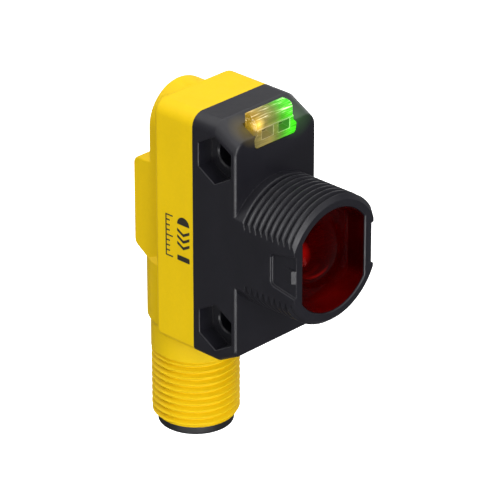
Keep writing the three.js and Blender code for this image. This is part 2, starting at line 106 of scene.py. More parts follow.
BOSS = {"half": 5.6, "centre": 11.75, "rear": 17.95, "edge": 0.8, "foot": -8, "cavity_foot": -12}
POT_HOLE = {"radius": 2.3, "mouth": 0.15, "depth": 3}
PAD = {"half": 5.6, "rear": 20.6, "top": 6.9, "bottom": -5.9, "heel": 18.3, "heel_bottom": -7.4, "edge": 0.25}
PLUG = {"crest": 6.0, "root": 5.39, "pitch": 1.0, "lead": 0.3, "start": 0.1, "neck": 6.04, "collar": 6.47,
        "shoulder_slope": 0.87, "edge": 0.65, "edge_slope": 0.95}
COLLAR_TOP, COLLAR_END, NECK_TOP, NECK_END = -7.4, -16.1, -17.0, -21.0
PLUG_BORE = {"radius": 5, "lip": 0.2, "top": -14}
UPPER_BORE = {"radius": 4.5, "bottom": -15, "top": 5}
INSERT = {"plug": 4.85, "cavity": 4.2, "floor": -24.0, "hole": 0.6, "hole_tool": 1.6}
INSERT_KEY = {"half": 0.6, "depth": 0.8, "front": 0.6}

LENS = {"gap": 0.06, "wall": 0.55, "floor": -8.0, "dome_radius": 4.6, "dome_height": 1.3}
PIPE_CLEARANCE = 0.08
HEAD = {"left": -3.85, "right": 3.4, "front": 0.3, "rear": 2.2, "bottom": 14.55}
SKIRT = {"low": 3.72, "high": 3.95, "bottom": PIPE_LOW.z, "shoulder": 14.95, "top": 15.6, "lip": 16.05,
         "neck": 3.35, "rear": 0.45}
SHANK = {"half": 3.2, "bottom": 14.55, "top": 16.05, "half_fork": 0.5, "fork_from": 3.2}
PIPE_WINDOW = {"near": 0.45, "far": 2.6, "bottom": 14.6, "top": 16.0, "depth": 0.8, "slope": 0.62}
RIB = {"centre": Vector((1.35, 16.8)), "from": 16.5, "height": 0.014, "count": 44}
ROTOR = {"shaft": 1.1, "disc_from": 1.3, "half_slot": 0.35, "slot_depth": 0.8, "notch_depth": 0.25}


# ---------- mesh tools
def fillet(before, corner, after, radius, steps):
    """The points of the arc that rounds one corner between its two neighbours."""
    here = Vector(corner[:2])
    back = (Vector(before[:2]) - here).normalized()
    ahead = (Vector(after[:2]) - here).normalized()
    half = back.angle(ahead) / 2
    centre = here + (back + ahead).normalized() * (radius / sin(half))
    spoke = here + back * (radius / tan(half)) - centre
    turn = (pi - 2 * half) * (1 if back.cross(ahead) < 0 else -1)
    return [centre + Matrix.Rotation(turn * k / steps, 2) @ spoke for k in range(steps + 1)]


def rounded(corners, steps=8):
    """A closed outline of (u, v, radius) corners, each corner rounded to its radius."""
    points = []
    for i, (u, v, radius) in enumerate(corners):
        if radius:
            points += fillet(corners[i - 1], corners[i], corners[(i + 1) % len(corners)], radius, steps)
        else:
            points.append(Vector((u, v)))
    return points


def bent(profile, steps=6):
    """An open profile of (u, v, radius) corners, rounded where they have a radius, as (u, v) pairs."""
    points = []
    for i, (u, v, radius) in enumerate(profile):
        if radius:
            points += [tuple(p) for p in fillet(profile[i - 1], profile[i], profile[i + 1], radius, steps)]
        else:
            points.append((u, v))
    return points


def rectangle(u, v, radius=0.0):
    return [(u[0], v[0], radius), (u[1], v[0], radius), (u[1], v[1], radius), (u[0], v[1], radius)]


def inset(points, distance):
    """The outline moved inwards by a distance."""
    sharpest = 0.3
    count = len(points)
    area = sum(points[i - 1].cross(points[i]) for i in range(count))
    side = 1 if area > 0 else -1
    moved = []
    for i, here in enumerate(points):
        into = (here - points[i - 1]).normalized()
        out = (points[(i + 1) % count] - here).normalized()
        normals = [Vector((-d.y, d.x)) * side for d in (into, out)]
        middle = (normals[0] + normals[1]).normalized()
        moved.append(here + middle * (distance / max(middle.dot(normals[0]), sharpest)))
    return moved


PLACE = {
    "x": lambda u, v, w: (w, u, v),
    "y": lambda u, v, w: (u, w, v),
    "z": lambda u, v, w: (u, v, w),
}


def new_object(name, data):
    made = bpy.data.objects.new(name, data)
    bpy.context.scene.collection.objects.link(made)
    return made


def skin(name, loops, ring=False):
    """A closed solid over loops of points. One point is a tip; a ring joins its last loop to its first."""
    mesh = bmesh.new()
    rows = [[mesh.verts.new(point) for point in loop] for loop in loops]
    pairs = list(zip(rows, rows[1:])) + ([(rows[-1], rows[0])] if ring else [])
    for a, b in pairs:
        count = max(len(a), len(b))
        for i in range(count):
            j = (i + 1) % count
            corners = [a[i % len(a)], a[j % len(a)], b[j % len(b)], b[i % len(b)]]
            mesh.faces.new(list(dict.fromkeys(corners)))
    if not ring:
        for row in (rows[0], rows[-1]):
            if len(row) > 2:
                mesh.faces.new(row)
    bmesh.ops.recalc_face_normals(mesh, faces=mesh.faces)
    data = bpy.data.meshes.new(name)
    mesh.to_mesh(data)
    mesh.free()
    return new_object(name, data)


def layered(name, axis, outline_at, levels):
    """A solid over (position, amount) levels along an axis; the amount sets each level's outline."""
    place = PLACE[axis]
    return skin(name, [[place(p.x, p.y, w) for p in outline_at(amount)] for w, amount in levels])


def tapered(name, axis, points, levels):
    """An outline drawn at several levels along an axis, moved inwards by each level's amount."""
    return layered(name, axis, lambda amount: inset(points, amount) if amount else points, levels)


def prism(name, axis, points, low, high, low_edge=0.0, high_edge=0.0, steps=4):
    """An outline extruded along an axis, with the edges of its two ends rounded to their radii."""
    levels = []
    for k in range(steps + 1 if low_edge else 1):
        angle = k * pi / 2 / steps
        levels.append((low + low_edge * (1 - cos(angle)), low_edge * (1 - sin(angle))))
    for k in range(steps, -1, -1) if high_edge else [0]:
        angle = k * pi / 2 / steps
        levels.append((high - high_edge * (1 - cos(angle)), high_edge * (1 - sin(angle))))
    return tapered(name, axis, points, levels)


def block(name, x, y, z):
    return prism(name, "z", rounded(rectangle(x, y)), z[0], z[1])


def lathe(name, axis, profile, centre, sides=128):
    """A profile of (radius, height) points turned about an axis through a centre."""
    place = PLACE[axis]
    loops = []
    for radius, height in profile:
        angles = [0.0] if radius == 0 else [2 * pi * k / sides for k in range(sides)]
        ring = [Vector(place(radius * cos(a), radius * sin(a), height)) + Vector(centre) for a in angles]
        loops.append(ring)
    return skin(name, loops, ring=profile[0][0] > 0)


def groove(turns):
    """The depth of a thread as a share, from 0 on the crest to 1 in the root, after a number of turns."""
    away = abs((turns + 0.5) % 1 - 0.5)
    share = min(max((away - CREST_HALF) / (0.5 - CREST_HALF - ROOT_HALF), 0), 1)
    straight = 1 - THREAD_SOFT
    if share < THREAD_SOFT:
        return share ** 2 / (2 * THREAD_SOFT) / straight
    if share > straight:
        return 1 - (1 - share) ** 2 / (2 * THREAD_SOFT) / straight
    return (share - THREAD_SOFT / 2) / straight


def threaded(name, centre, up, along, heights, radius_at, sides=192):
    """A rod along one direction whose radius depends on the height and on the angle from +X towards up."""
    across = Vector((1, 0, 0))
    loops = []
    for height in heights:
        loop = []
        for k in range(sides):
            angle = 2 * pi * k / sides
            spoke = across * cos(angle) + up * sin(angle)
            loop.append(centre + along * height + spoke * radius_at(angle, height))
        loops.append(loop)
    return skin(name, loops)


def spread(start, end, step):
    """Even steps from start to end, both included."""
    count = max(1, round((end - start) / step))
    return [start + (end - start) * k / count for k in range(count + 1)]


def combine(target, tools, operation="DIFFERENCE"):
    """Cuts, joins or intersects the target with solids, and removes those."""
    for tool in tools:
        change = target.modifiers.new("combine", "BOOLEAN")
        change.operation = operation
        change.solver = "MANIFOLD"
        change.object = tool
        bpy.context.view_layer.update()
        result = bpy.data.meshes.new_from_object(target.evaluated_get(bpy.context.evaluated_depsgraph_get()))
        target.modifiers.clear()
        target.data = result
        bpy.data.objects.remove(tool)
    return target


def complete(piece, body, material, replaces=()):
    """Turns a drawn piece into metres, smooths it up to its sharp edges, and ties it to the frame."""
    piece.data.transform(Matrix.Scale(MM, 4))
    piece.data.shade_smooth()
    piece.data.set_sharp_from_angle(angle=radians(SHARP_ANGLE))
    weighted = piece.modifiers.new("weighted normals", "WEIGHTED_NORMAL")
    weighted.keep_sharp = True
    piece.data.materials.clear()
    piece.data.materials.append(material)
    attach(piece, body)
    if replaces:
        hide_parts(*replaces)
    return piece


# ---------- materials
def colour(red, green, blue):
    """A display colour from 0 to 255 as a linear colour."""
    values = [c / 255 for c in (red, green, blue)]
    return tuple(c / 12.92 if c <= 0.04045 else ((c + 0.055) / 1.055) ** 2.4 for c in values) + (1.0,)


def grey(level):
    return (level, level, level, 1)


def changed(base, share):
    """A colour made lighter by a share, or darker by a negative one."""
    return tuple(min(1, c * (1 + share)) for c in base[:3]) + (1,)


MIX_FACTOR, MIX_A, MIX_B = 0, 6, 7
EDGE_RADIUS = 0.06
COVER_BLACK = (0.0085, 0.0082, 0.0122, 1)
LAMP_GLOWS = (
    {"centre": (-4.0, 0.9, 16.7), "reach": 2.9, "tint": (1.0, 0.74, 0.14, 1), "power": 0.2},
    {"centre": (4.0, 0.3, 16.2), "reach": 3.6, "tint": (0.3, 1.0, 0.2, 1), "power": 0.13},
)
# painted light: glowing patches in the red window that stand for the emitter's light
WINDOW_PAINTED_LIGHT = {
    "patch": ((-3.6, -8.9, 1.6), (1.0, 0.5, 0.5), [(0.0, 0.42), (0.4, 0.25), (0.98, 0.0)]),
    "arc": ((-2.2, -8.9, 1.2), (0.2, 0.05, 0.2), [(0.6, 0.0), (0.68, 0.16), (0.76, 0.0)]),
    "arc_part": ((-1.6, -8.9, -2.0), (0.42, 0.2, 0.42), [(0.3, 1.0), (0.95, 0.0)]),
    "rim": ((0, 0, 0.6), (0.135, 0.0, 0.135), [(0.66, 0.0), (0.98, 0.055)]),
    "rim_part": ((2.0, 0, -7.2), (0.14, 0.0, 0.2), [(0.2, 1.0), (0.98, 0.0)]),
}
AMBER, CREAM, OLIVE = colour(252, 200, 60), colour(214, 194, 110), colour(176, 196, 96)
GREEN, DEEP_GREEN, KHAKI = colour(110, 225, 60), colour(75, 240, 35), colour(188, 172, 104)
PALE_LIGHT = (1.0, 0.96, 0.66, 1)
PIPE_LIGHT = {
    "upper_tint": [(0.0, AMBER), (0.3, CREAM), (0.5, OLIVE), (0.66, GREEN), (0.9, DEEP_GREEN)],
    "lower_tint": [(0.0, KHAKI), (0.35, CREAM), (0.52, OLIVE), (0.7, GREEN), (0.9, DEEP_GREEN)],
    "level": [(0.0, 0.14), (0.14, 0.28), (0.3, 0.24), (0.5, 0.23), (0.66, 0.4), (0.85, 0.78)],
    "streaks": [(0.35, 0.65), (0.5, 1.0), (0.62, 1.3)],
    "window_level": [(0.0, 0.26), (0.45, 0.25), (0.6, 0.22), (1.0, 0.22)],
    "window_painted_facet_shade": [(0.3, 0.4), (0.6, 0.65), (0.8, 1.0)],
    "lamp": [(0.0, 1.7), (0.3, 0.8), (0.98, 0.0)],
    "glint": [(0.57, 0.0), (0.65, 0.4), (0.73, 0.9)],
    "outline": [(0.75, 0.6), (0.97, 0.0)],
    "outline_outside_windows": [(0.0, 1.0), (1.0, 0.25)],
    "clear": [(0.0, 0.3), (1.0, 0.08)],
    "rough": [(0.0, 0.1), (1.0, 0.5)],
}


class Shader:
    """A material with a Principled shader, and short ways to add and link nodes. Lengths are in mm."""

    def __init__(self, name, **values):
        self.material = bpy.data.materials.new(name)
        self.material.use_nodes = True
        self.tree = self.material.node_tree
        self.tree.nodes.clear()
        self.main = self.add("ShaderNodeBsdfPrincipled")
        self.set(self.main, **values)
        self.link(self.main, self.add("ShaderNodeOutputMaterial"), "Surface")
        self.place = (self.add("ShaderNodeTexCoord"), "Object")

    def add(self, kind, **settings):
        node = self.tree.nodes.new(kind)
        for key, value in settings.items():
            setattr(node, key, value)
        return node

    def set(self, node, **values):
        for key, value in values.items():
            node.inputs[key.replace("_", " ")].default_value = value
        return node

    def link(self, source, target, socket):
        """Links a node's first active output, or the named one of a (node, output) pair, to a socket."""
        if isinstance(source, tuple):
            output = source[0].outputs[source[1]]
        else:
            output = next(found for found in source.outputs if found.enabled)
        self.tree.links.new(output, target.inputs[socket])

    def made(self, **sources):
        """Links nodes to the shader's sockets, and gives the material."""
        for key, source in sources.items():
            self.link(source, self.main, key.replace("_", " "))
        return self.material

    def noise(self, scale, detail, rough, stretch=(1, 1, 1)):
        mapping = self.set(self.add("ShaderNodeMapping"), Scale=stretch)
        self.link(self.place, mapping, "Vector")
        made = self.set(self.add("ShaderNodeTexNoise"), Scale=scale, Detail=detail, Roughness=rough)
        self.link(mapping, made, "Vector")
        return made

    def ramp(self, source, stops):
        """A colour ramp of (position, colour or grey) stops driven by a node."""
        node = self.add("ShaderNodeValToRGB")
        elements = node.color_ramp.elements
        while len(elements) < len(stops):
            elements.new(0.5)
        for element, (position, value) in zip(elements, stops):
            element.position = position
            element.color = value if isinstance(value, tuple) else grey(value)
        self.link(source, node, "Fac")
        return node

    def mix(self, factor, a, b, blend="MIX"):
        """Mixes two colours; each input is a constant or a node."""
        node = self.add("ShaderNodeMix", data_type="RGBA", blend_type=blend)
        for socket, value in zip((MIX_FACTOR, MIX_A, MIX_B), (factor, a, b)):
            if isinstance(value, (float, tuple)):
                node.inputs[socket].default_value = value
            else:
                self.link(value, node, socket)
        return node

    def product(self, a, b):
        return self.mix(1.0, a, b, "MULTIPLY")

    def total(self, a, b):
        return self.mix(1.0, a, b, "ADD")

    def vector(self, operation, a, b):
        """A vector operation on a node and a node or a constant."""
        node = self.add("ShaderNodeVectorMath", operation=operation)
        self.link(a, node, 0)
        if isinstance(b, list):
            node.inputs[1].default_value = b
        elif b is not None:
            self.link(b, node, 1)
        return node

    def share(self, source, low, high):
        """A value that goes from nought to one while the source goes from low to high."""
        node = self.set(self.add("ShaderNodeMapRange"), From_Min=low, From_Max=high)
        self.link(source, node, "Value")
        return node

    def nearness(self, centre, scale, stops):
        """A grey ramp over the distance from a point, measured with its own scale along each axis."""
        away = self.vector("SUBTRACT", self.place, [c * MM for c in centre])
        scaled = self.vector("MULTIPLY", away, [c / MM for c in scale])
        return self.ramp(self.vector("LENGTH", scaled, None), stops)

    def edges(self, radius, samples, stops):
        """A grey ramp over how much the surface bends within a radius, from the sharpest bend to none."""
        soft = self.set(self.add("ShaderNodeBevel", samples=samples), Radius=radius * MM)
        normal = (self.add("ShaderNodeNewGeometry"), "Normal")
        return self.ramp(self.vector("DOT_PRODUCT", normal, soft), stops)

    def relief(self, height, strength, distance, edge=0.0):
        """Bump from a height, on top of edges rounded to a radius."""
        bump = self.set(self.add("ShaderNodeBump"), Strength=strength, Distance=distance * MM)
        self.link(height, bump, "Height")
        if edge:
            self.link(self.set(self.add("ShaderNodeBevel", samples=4), Radius=edge * MM), bump, "Normal")
        self.link(bump, self.main, "Normal")


def moulded(name, base, rough, specular, shade, edge_highlight_amount, glows=()):
    """Moulded plastic: a fine grain, faint flow mottling and soft edges made paler by a painted highlight."""
    s = Shader(name, IOR=1.5, Specular_IOR_Level=specular)
    fine = s.noise(2600, 6, 0.62)
    flow = s.noise(190, 3, 0.55, (1, 1, 0.45))
    mottled = s.ramp(flow, [(0.3, changed(base, -shade)), (0.5, base), (0.7, changed(base, shade))])
    speck = s.ramp(fine, [(0.35, 1 - shade), (0.65, 1.0)])
    # painted highlight: the base colour turns paler where the surface bends at an edge
    rim = s.edges(2 * EDGE_RADIUS, 4, [(0.75, 1.0), (0.985, 0.0)])
    pale = tuple(min(1, c + edge_highlight_amount * (1 - c) * 0.5 + 0.012) for c in base[:3]) + (1,)
    edge_highlighted = s.mix(s.product(rim, grey(edge_highlight_amount * 3)), s.product(mottled, speck), pale)
    polish = s.ramp(s.noise(420, 4, 0.6), [(0.3, rough - 0.05), (0.7, rough + 0.07)])
    s.relief(fine, 0.55, 0.006, EDGE_RADIUS)
    add_glows(s, glows)
    return s.made(Base_Color=edge_highlighted, Roughness=polish)


def add_glows(s, glows):
    """The light of the indicator lamps on the plastic beside them."""
    light = None
    for glow in glows:
        power = glow["power"]
        stops = [(0.0, power), (0.4, power * 0.4), (1.0, 0.0)]
        fade = s.nearness(glow["centre"], [1 / glow["reach"]] * 3, stops)
        patch = s.product(fade, glow["tint"])
        light = s.total(light, patch) if light else patch
    if light:
        s.made(Emission_Color=light)
        s.set(s.main, Emission_Strength=1.0)


def printed_ink(name, base):
    """Pad-printed ink: dark, slightly glossy, with tiny thin spots."""
    s = Shader(name)
    spots = s.noise(3800, 5, 0.7)
    thin = tuple(c * 2.2 + 0.006 for c in base[:3]) + (1,)
    s.relief(spots, 0.3, 0.003)
    return s.made(Base_Color=s.ramp(spots, [(0.55, base), (0.78, thin)]),
                  Roughness=s.ramp(spots, [(0.3, 0.38), (0.7, 0.55)]))


def dull(name, base, rough, grain, metal):
    """A plain material with a grain in its colour, roughness and surface."""
    shade = 0.12
    s = Shader(name, Metallic=metal)
    fine = s.noise(grain, 5, 0.6)
    s.relief(fine, 0.4, 0.01)
    return s.made(Base_Color=s.ramp(fine, [(0.3, changed(base, -shade)), (0.7, changed(base, shade))]),
                  Roughness=s.ramp(fine, [(0.3, rough * 0.85), (0.7, min(1.0, rough * 1.15))]))


def window_emission(s, swirl):
    """The emitter's light in the window, painted as glowing emission: a patch and a part of an arc, and a
    part of the rim.
    """
    light = {part: s.nearness(*values) for part, values in WINDOW_PAINTED_LIGHT.items()}
    beam = s.total(light["patch"], s.product(light["arc"], light["arc_part"]))
    whole = s.total(beam, s.product(light["rim"], light["rim_part"]))
    return s.product(whole, s.ramp(swirl, [(0.35, 0.55), (0.6, 1.0)]))


def red_window(name):
    """Red-dyed acrylic, dark but clear, with the lit emitter's light painted on as a glow."""
    s = Shader(name, IOR=1.2, Transmission_Weight=0.92, Specular_IOR_Level=0.1,
               Specular_Tint=(0.6, 0.004, 0.004, 1), Emission_Color=colour(235, 24, 18))
    swirl = s.noise(150, 3, 0.5, (1, 1, 2.4))
    dye = s.ramp(swirl, [(0.3, (0.15, 0.0003, 0.0012, 1)), (0.7, (0.22, 0.0004, 0.0005, 1))])
    rough = s.ramp(s.noise(1500, 4, 0.5), [(0.3, 0.05), (0.7, 0.1)])
    s.relief(swirl, 0.12, 0.04)
    return s.made(Base_Color=dye, Roughness=rough, Emission_Strength=window_emission(s, swirl))


def window_mask(s, place):
    """One inside the two facetted windows of the light pipe, nought on the rest of it."""
    face, blend = 0.03, 0.12
    behind_face = s.share((place, "Y"), face * MM, blend * MM)
    below_top = s.share((place, "Z"), (PIPE_WINDOW["top"] + blend) * MM, PIPE_WINDOW["top"] * MM)
    window = s.add("ShaderNodeMath", operation="MULTIPLY")
    s.link(behind_face, window, 0)
    s.link(below_top, window, 1)
    return window


def facing(s, away, stops):
    """A grey ramp over how far the surface turns towards one fixed direction."""
    normal = (s.add("ShaderNodeNewGeometry"), "True Normal")
    return s.ramp(s.share(s.vector("DOT_PRODUCT", normal, away), -1.0, 1.0), stops)


def pipe_tint(s, along, place):
    """The light's colour: amber on the left to green on the right, and duller down in the skirt."""
    upper, lower = 16.2, 15.2
    sunk = s.share((place, "Z"), upper * MM, lower * MM)
    return s.mix(sunk, s.ramp(along, PIPE_LIGHT["upper_tint"]), s.ramp(along, PIPE_LIGHT["lower_tint"]))


def pipe_glow(s, along, streaks, window):
    """The light in the pipe: streaks along it, dimmer windows with painted facet shading, and the amber
    lamp's spot.
    """
    streaked = s.product(s.ramp(along, PIPE_LIGHT["level"]), s.ramp(streaks, PIPE_LIGHT["streaks"]))
    # painted shade: window facets turned towards the upper left front glow brighter, as if lit from there
    facets = facing(s, [-0.6, -0.35, 0.72], PIPE_LIGHT["window_painted_facet_shade"])
    shaded_windows = s.product(s.ramp(along, PIPE_LIGHT["window_level"]), facets)
    lamp = s.nearness((-3.0, 0.1, 16.8), (0.8, 0.6, 1.0), PIPE_LIGHT["lamp"])
    return s.total(s.mix(window, streaked, shaded_windows), lamp)


def pipe_highlights(s, place, streaks, window):
    """Glints along the round top, and a bright outline on the edges."""
    low, high = 16.5, 17.2
    above = s.share((place, "Z"), low * MM, high * MM)
    glint = s.product(s.ramp(streaks, PIPE_LIGHT["glint"]), above)
    outside = s.ramp(window, PIPE_LIGHT["outline_outside_windows"])
    return s.total(glint, s.product(s.edges(0.2, 6, PIPE_LIGHT["outline"]), outside))


def glowing_pipe(name):
    """Clear light pipe: amber light enters on its left, green on its right, and its edges carry it."""
    s = Shader(name, IOR=1.3, Transmission_Weight=0.4, Specular_IOR_Level=0.3)
    place = s.add("ShaderNodeSeparateXYZ")
    s.link(s.place, place, "Vector")
    along = s.share((place, "X"), HEAD["left"] * MM, -HEAD["left"] * MM)
    streaks = s.noise(5200, 1, 0.4, (0.09, 1, 1))
    window = window_mask(s, place)
    tint = pipe_tint(s, along, place)
    glow = pipe_glow(s, along, streaks, window)
    bright = pipe_highlights(s, place, streaks, window)
    s.relief(streaks, 0.3, 0.03)
    return s.made(
        Base_Color=s.product(tint, s.ramp(window, PIPE_LIGHT["clear"])),
        Roughness=s.ramp(window, PIPE_LIGHT["rough"]),
        Emission_Color=s.mix(bright, tint, PALE_LIGHT),
        Emission_Strength=s.total(glow, s.product(bright, grey(0.6))))


def pale_paper(name):
    """The floor: nearly white, and lit evenly by itself."""
    s = Shader(name, Roughness=0.9, Specular_IOR_Level=0.1, Emission_Color=grey(1), Emission_Strength=1.0)
    return s.made(Base_Color=s.ramp(s.noise(40, 4, 0.5), [(0.3, 0.9), (0.7, 0.93)]))


# ---------- black cover with the lens barrel
def body_outline(half=HALF_WIDTH, bottom=BOTTOM, top=TOP):
    """The body seen from the front."""
    return rounded([(-half, bottom, BOTTOM_RADIUS), (half, bottom, BOTTOM_RADIUS), (half, top, TOP_RADIUS),
                    (-half, top, TOP_RADIUS)], 14)


def height_at(line, y):
    """The height of a line of (y, z) points at a depth."""
    for (y0, z0), (y1, z1) in zip(line, line[1:]):
        if y0 <= y <= y1 and y1 > y0:
            return z0 + (z1 - z0) * (y - y0) / (y1 - y0)
    return line[-1][1]


def chamfer_line(chamfer, edge, start):
    """The top or bottom of the cover seen from its side."""
    return bent([(0, 0, 0), (0, start, chamfer["front_fillet"]), (chamfer["y"], edge, chamfer["rear_fillet"]),
                 (SPLIT, edge, 0)])


def cover_block():
    """The body of the cover: its round corners follow the chamfers, and its front edges are soft."""
    top = chamfer_line(TOP_CHAMFER, TOP, TOP - TOP_CHAMFER["drop"])
    bottom = chamfer_line(BOTTOM_CHAMFER, BOTTOM, BOTTOM + BOTTOM_CHAMFER["rise"])
    edge_steps = 8
    depths = [FRONT_EDGE * (1 - cos(k * pi / 2 / edge_steps)) for k in range(edge_steps)]
    depths += spread(FRONT_EDGE, SPLIT - SEAM, 0.1)
    loops = []
    for y in depths:
        left = max(0, 1 - y / FRONT_EDGE)
        half = HALF_WIDTH - FRONT_EDGE * (1 - sqrt(1 - left ** 2))
        inside = max(y, 1e-6)
        outline = body_outline(half, height_at(bottom, inside), height_at(top, inside))
        loops.append([(p.x, y, p.y) for p in outline])
    loops.append([(p.x, SPLIT, p.y) for p in inset(body_outline(), SEAM)])
    return skin("front_cover_shell", loops)


def barrel_solid():
    """The 18 mm barrel: a right-hand thread with two flats as wide as the body."""
    crest, root, pitch = BARREL["crest"], BARREL["root"], BARREL["pitch"]

    def radius_at(angle, height):
        fade = min(max((height - BARREL["first"]) / BARREL["lead"], 0), 1)
        turns = (height - BARREL["first"]) / pitch - (angle - BARREL["start"]) / (2 * pi)
        radius = crest - (crest - root) * groove(turns) * fade
        return min(radius, crest - BARREL["edge_slope"] * max(height - BARREL["edge_from"], 0))

    heights = [-PAST] + spread(BARREL["ring_from"], -BARREL_FRONT, THREAD_STEP)
    rod = threaded("barrel", Vector(), Vector((0, 0, 1)), Vector((0, -1, 0)), heights, radius_at)
    reach = crest + PAST
    flats = block("flats", (-HALF_WIDTH, HALF_WIDTH), (BARREL_FRONT - PAST, 2 * PAST), (-reach, reach))
    return combine(rod, [flats], "INTERSECT")


def window_outline(amount=0.0, steps=40):
    """The window: a circle with a flat on its left and right."""
    radius, flat = WINDOW["radius"] - amount, WINDOW["half_flat"] - amount
    reach = acos(flat / radius)
    points = []
    for start in (reach, pi + reach):
        for k in range(steps + 1):
            angle = start + (pi - 2 * reach) * k / steps
            points.append(Vector((radius * cos(angle), radius * sin(angle))))
    return points


def snap_recess(side):
    """The shallow pocket in a flat of the barrel, open to the front, with small chamfers."""
    rear, front = SNAP["rear"], BARREL_FRONT - PAST
    half, mouth, corner = SNAP["rear_half"], SNAP["mouth_half"], SNAP["corner"]
    outline = rounded([(rear, -half, corner), (front, -mouth, 0), (front, mouth, 0), (rear, half, corner)])
    floor, edge = HALF_WIDTH - SNAP["depth"], SNAP["edge"]
    levels = [(floor, edge), (floor + edge, 0.0), (HALF_WIDTH - edge, 0.0), (HALF_WIDTH + PAST, -PAST - edge)]
    return tapered("snap_recess", "x", outline, [(side * x, amount) for x, amount in levels])


def snap_wedge(side):
    """The ramp in the middle of a snap recess."""
    floor = HALF_WIDTH - SNAP["depth"]
    sunk, front = floor - WEDGE["sunk"], BARREL_FRONT + WEDGE["front_gap"]
    outline = [(sunk, WEDGE["rear"]), (floor, WEDGE["rear"]), (HALF_WIDTH - WEDGE["peak_gap"], WEDGE["peak"]),
               (floor, front), (sunk, front)]
    points = [Vector((side * x, y)) for x, y in outline]
    return prism("snap_wedge", "z", points, -WEDGE["half"], WEDGE["half"])


def screw_hole(centre):
    """A screw hole with a small lip at the nut pocket's floor and a chamfer on the right side."""
    radius, lip, floor, mouth = SCREW["radius"], SCREW["lip"], NUT["depth"] - HALF_WIDTH, PAST / 2
    wide, outside = radius + lip, -HALF_WIDTH - PAST
    profile = [(0, outside), (wide, outside), (wide, floor), (radius, floor + lip),
               (radius, HALF_WIDTH - lip), (wide + mouth, HALF_WIDTH + mouth), (0, HALF_WIDTH + mouth)]
    return lathe("screw_hole", "x", profile, centre, 64)


def nut_pocket(centre):
    """A hexagonal pocket on the left side, with chamfered edges."""
    corner, edge, mouth = NUT["across_flats"] / sqrt(3), NUT["edge"], PAST / 2
    angles = [pi / 2 + k * pi / 3 for k in range(6)]
    points = [(centre[1] + corner * cos(a), centre[2] + corner * sin(a), NUT["corner"]) for a in angles]
    levels = [(NUT["depth"] - HALF_WIDTH, NUT["draft"]), (edge - HALF_WIDTH, 0.0),
              (-HALF_WIDTH - mouth, -mouth - edge)]
    return tapered("nut_pocket", "x", rounded(points, 3), levels)


def screw_cuts():
    """The two screw holes, each with its nut pocket."""
    centres = [(0, SCREW["y"], side * SCREW["z"]) for side in (-1, 1)]
    return [cut(centre) for centre in centres for cut in (screw_hole, nut_pocket)]


def skirt_outline(grow=0.0):
    """The light pipe's skirt from the front: it widens upwards and narrows again to the head."""
    right = [
        (SKIRT["low"] + grow, SKIRT["bottom"] - grow, 0.5),
        (SKIRT["high"] + grow, SKIRT["shoulder"], 0.4),
        (SKIRT["neck"] + grow, SKIRT["top"] + grow, 0.2),
        (SKIRT["neck"] + grow, TOP + PAST, 0),
    ]
    left = [(-x, z, r) for x, z, r in reversed(right)]
    return rounded(right + left, 6)


def pipe_cuts():
    """The room for the light pipe: slots for its skirt, its head and its shank."""
    gap = PIPE_CLEARANCE
    wide = (HEAD["left"] - gap, HEAD["right"] + gap)
    deep = (HEAD["front"] - gap, HEAD["rear"] + gap)
    half = SHANK["half"] + gap
    return [
        prism("skirt_slot", "y", skirt_outline(gap), -PAST, SKIRT["rear"] + gap),
        block("head_slot", wide, deep, (HEAD["bottom"] - gap, TOP + PAST)),
        block("shank_slot", (-half, half), (HEAD["rear"] - PAST, SPLIT + 2 * PAST),
              (SHANK["bottom"] - gap, SHANK["top"] + gap)),
    ]


def window_cuts():
    """The window's opening with a flared mouth, the tunnel for the light, and the chamber behind it."""
    mouth, outside = WINDOW["mouth"], PAST / 2
    flare = [(BARREL_FRONT - outside, -mouth - outside), (BARREL_FRONT + mouth, 0.0)]
    wide, high = CHAMBER["half_width"], CHAMBER["half_height"]
    return [
        prism("opening", "y", window_outline(), BARREL_FRONT - PAST, WINDOW["ledge"]),
        layered("flare", "y", window_outline, flare),
        prism("tunnel", "y", window_outline(WINDOW["tunnel_inset"]), WINDOW["ledge"] - PAST, 2 * PAST),
        block("chamber", (-wide, wide), (CHAMBER["front"], SPLIT + 2 * PAST), (-high, high)),
    ]


def front_cover(material):
    shell = combine(cover_block(), [barrel_solid()], "UNION")
    combine(shell, [snap_recess(-1), snap_recess(1)])
    combine(shell, [snap_wedge(-1), snap_wedge(1)], "UNION")
    combine(shell, [*window_cuts(), *screw_cuts(), *pipe_cuts()])
    return complete(shell, "sensor_body", material, ["front_cover"])


# ---------- yellow case with the plug
def plug_spigot():
    """The round spigot under the case with its 12 mm thread."""
    crest, root, pitch = PLUG["crest"], PLUG["root"], PLUG["pitch"]
    first, last = -NECK_END, -THREAD_END
    ring = 0.15

    def radius_at(angle, height):
        if height < -COLLAR_TOP:
            return PLUG["collar"] - (-COLLAR_TOP - height) * PLUG["shoulder_slope"]
        if height <= -COLLAR_END:
            return PLUG["collar"]
        if height <= -NECK_TOP:
            share = (height + COLLAR_END) / (COLLAR_END - NECK_TOP)
            return PLUG["collar"] + (PLUG["neck"] - PLUG["collar"]) * share
        if height <= first:
            return PLUG["neck"]
        fade = min((height - first) / PLUG["lead"], 1)
        turns = (height - first) / pitch - PLUG["start"] - angle / (2 * pi)
        radius = crest - (crest - root) * groove(turns) * fade
        return min(radius, crest - PLUG["edge_slope"] * max(height - last + PLUG["edge"], 0))

    heights = [-COLLAR_TOP - PAST, -COLLAR_TOP, -COLLAR_END, -COLLAR_END + ring, -NECK_TOP - ring, -NECK_TOP,
               first]
    heights += spread(first + THREAD_STEP, last, THREAD_STEP)
    centre = Vector((0, PLUG_Y, 0))
    return threaded("spigot", centre, Vector((0, -1, 0)), Vector((0, 0, -1)), heights, radius_at)


def arch(half, centre, foot, steps=36):
    """An upright outline with a round top and a square foot."""
    points = [Vector((-half, foot)), Vector((half, foot))]
    angles = [pi * k / steps for k in range(steps + 1)]
    return points + [Vector((half * cos(a), centre + half * sin(a))) for a in angles]


